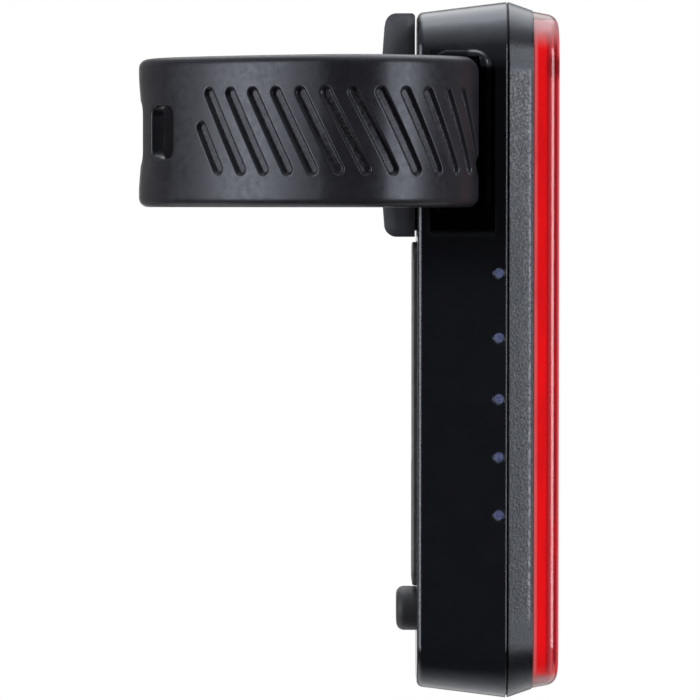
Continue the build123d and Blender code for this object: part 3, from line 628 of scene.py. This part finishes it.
def dish_depth(s, z):
    """The shallow hollow round the nose."""
    return DISH_DEEP * ease(abs(s), *DISH_S) * ease(abs(z), *DISH_Z)


def foot_height(s, z):
    """Height with the corners of the band rounded off where it turns into the case."""
    if s > -(NEAR_LONG - FOOT_LONG) or abs(z) < FOOT_Z[0]:
        return z
    corner = FOOT_TOP_ROUND if z > 0 else FOOT_BOTTOM_ROUND
    into = min(corner, max(0.0, place(s)[0] - (FOOT_FACE_X - corner)))
    drop = corner - (corner * corner - into * into) ** 0.5
    return z - (drop if z > 0 else -drop) * ease(abs(z), *FOOT_Z)


def rounded_rect(u, v, half_u, half_v, corner):
    """Where the ray from the middle through (u, v) meets a rounded rectangle."""
    low, high = 0.0, 1.0
    size = max(abs(u) / half_u, abs(v) / half_v)
    u, v = u / size, v / size
    for _ in range(HALVINGS):
        share = (low + high) / 2
        du = max(0.0, abs(u) * share - (half_u - corner))
        dv = max(0.0, abs(v) * share - (half_v - corner))
        inside = abs(u) * share <= half_u and abs(v) * share <= half_v and hypot(du, dv) <= corner
        low, high = (share, high) if inside else (low, share)
    return u * low, v * low


def spaced(start, stop, step):
    """Evenly spaced values with both ends in, about a step apart."""
    count = max(1, round(abs(stop - start) / step))
    return [start + (stop - start) * k / count for k in range(count + 1)]


def quarter(steps, first=1):
    """Angles of a quarter turn in equal steps."""
    return [pi / 2 * k / steps for k in range(first, steps + 1)]


def band_columns():
    """The distances from the nose at which the band has a section."""
    patches = [slot + side * PATCH_S for slot in SLOTS for side in (-1, 1)]
    marks = sorted({BAND_FROM, GROOVES_FROM, GROOVES_TO, BAND_TO, *patches})
    columns = []
    for a, b in zip(marks, marks[1:]):
        grooved = GROOVES_FROM <= a and b <= GROOVES_TO
        columns += spaced(a, b, GROOVE_STEP if grooved else PLAIN_STEP)[:-1]
    return [*columns, BAND_TO]


def outer_rows():
    """The heights of a section's points on the outer face."""
    marks = (-FLAT, -FINE_Z, -PATCH_Z, PATCH_Z, FINE_Z, FLAT)
    rows = []
    for a, b, step in zip(marks, marks[1:], (EDGE_ROW, FINE_ROW, FINE_ROW, FINE_ROW, EDGE_ROW)):
        rows += spaced(a, b, step)[:-1]
    return [*rows, FLAT]


def cross_section(rows):
    """(depth, height) up the outer face, over the top edge, down the inner face and under the bottom edge."""
    top = [(OUTER_ROUND * (1 - cos(a)), FLAT + OUTER_ROUND * sin(a)) for a in quarter(OUTER_ROUND_STEPS)]
    top += [(THICK - INNER_ROUND + INNER_ROUND * sin(a), TALL / 2 - INNER_ROUND + INNER_ROUND * cos(a))
            for a in quarter(INNER_ROUND_STEPS, 0)]
    outer, inner = [(0.0, z) for z in rows], [(THICK, z) for z in reversed(rows)]
    return outer + top + inner + [(depth, -z) for depth, z in reversed(top)], len(outer + top)


class Band:
    """The strap's mesh: sections along its run, with a patch left out and a rimmed slot put in at each slot."""

    def __init__(self):
        self.columns, self.rows = band_columns(), outer_rows()
        self.section, self.inner_from = cross_section(self.rows)
        self.low = min(range(len(self.rows)), key=lambda k: abs(self.rows[k] + PATCH_Z))
        self.high = min(range(len(self.rows)), key=lambda k: abs(self.rows[k] - PATCH_Z))
        self.patches = []
        for middle in SLOTS:
            inside = [i for i, s in enumerate(self.columns) if abs(s - middle) <= PATCH_S + 1e-6]
            self.patches.append((middle, inside[0], inside[-1]))
        self.points = [self.grid_point(s, k, *spot) for s in self.columns for k, spot in enumerate(self.section)]
        self.faces, self.looks = [], []

    def grid_point(self, s, k, depth, z):
        if k < len(self.rows):
            depth = groove_depth(s, z) + dish_depth(s, z)
        return s, depth, foot_height(s, z)

    def spot(self, i, k):
        """Number of the grid's point at a column and at a place in the section."""
        return i * len(self.section) + k

    def behind(self, k):
        """Place in the section of the inner face's point behind a row."""
        return self.inner_from + len(self.rows) - 1 - k

    def in_patch(self, i, k):
        if not any(first <= i < last for _, first, last in self.patches):
            return False
        return self.low <= k < self.high or self.behind(self.high) <= k < self.behind(self.low)

    def add_face(self, spots, look=0):
        self.faces.append(tuple(spots))
        self.looks.append(look)

    def add_skin(self):
        for i, s in enumerate(self.columns[:-1]):
            for k, (_, z) in enumerate(self.section):
                if not self.in_patch(i, k):
                    on_floor = k < len(self.rows) and groove_depth(s, z) > FLOOR_SHARE * GROOVE_DEEP
                    m = (k + 1) % len(self.section)
                    self.add_face((self.spot(i, k), self.spot(i + 1, k), self.spot(i + 1, m), self.spot(i, m)),
                                  int(on_floor))

    def add_ends(self):
        across = range(len(self.section))
        self.add_face(self.spot(0, k) for k in across)
        self.add_face(self.spot(len(self.columns) - 1, k) for k in reversed(across))

    def add_slot(self, middle, first, last):
        """Rings from the patch's edge to the rim, over it, through the band and out on the inner face."""
        soft = SLOT_RIM if middle else NOSE_RIM
        edge = [(first, k) for k in range(self.low, self.high)] + [(i, self.high) for i in range(first, last)]
        edge += [(last, k) for k in range(self.high, self.low, -1)] + [(i, self.low) for i in range(last, first, -1)]
        patch = [(self.columns[i] - middle, self.rows[k]) for i, k in edge]
        rim = [rounded_rect(*spot, SLOT_LONG / 2 + soft, SLOT_TALL / 2 + soft, SLOT_CORNER + soft) for spot in patch]
        wall = [rounded_rect(*spot, SLOT_LONG / 2, SLOT_TALL / 2, SLOT_CORNER) for spot in patch]
        rings = [[self.spot(i, k) for i, k in edge]]

        def add_ring(start, stop, share, depth, dished=False):
            new = len(self.points)
            for (u, z), (to_u, to_z) in zip(start, stop):
                s, z = middle + u + (to_u - u) * share, z + (to_z - z) * share
                self.points.append((s, depth + dish_depth(s, z) if dished else depth, z))
            rings.append(list(range(new, len(self.points))))

        for share in RIM_SHARES:
            add_ring(patch, rim, share, 0.0, dished=True)
        for a in quarter(SLOT_ROUND_STEPS):
            add_ring(rim, wall, sin(a), soft * (1 - cos(a)), dished=True)
        for share in WALL_SHARES:
            add_ring(wall, wall, 0.0, soft + (THICK - 2 * soft) * share)
        for a in quarter(SLOT_ROUND_STEPS):
            add_ring(wall, rim, 1 - cos(a), THICK - soft + soft * sin(a))
        add_ring(rim, patch, BACK_SHARE, THICK)
        rings.append([self.spot(i, self.behind(k)) for i, k in edge])
        for one, two in zip(rings, rings[1:]):
            for k in range(len(edge)):
                m = (k + 1) % len(edge)
                self.add_face((one[k], one[m], two[m], two[k]))


def build_band():
    shape = Band()
    shape.add_skin()
    shape.add_ends()
    for patch in shape.patches:
        shape.add_slot(*patch)
    mesh = bpy.data.meshes.new("strap_band")
    mesh.from_pydata(lay(shape.points).tolist(), [], shape.faces)
    mesh.materials.append(band_rubber)
    mesh.materials.append(groove_rubber)
    mesh.polygons.foreach_set("material_index", shape.looks)
    mesh.validate()
    mesh.update()
    bm = bmesh.new()
    bm.from_mesh(mesh)
    loose = [v for v in bm.verts if not v.link_faces]
    bmesh.ops.delete(bm, geom=loose, context="VERTS")
    bmesh.ops.recalc_face_normals(bm, faces=bm.faces)
    bm.to_mesh(mesh)
    bm.free()
    mesh.polygons.foreach_set("use_smooth", [True] * len(mesh.polygons))
    obj = bpy.data.objects.new("strap_band", mesh)
    bpy.context.scene.collection.objects.link(obj)
    return obj


band = build_band()
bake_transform(band)
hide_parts("strap", "strap_tail")
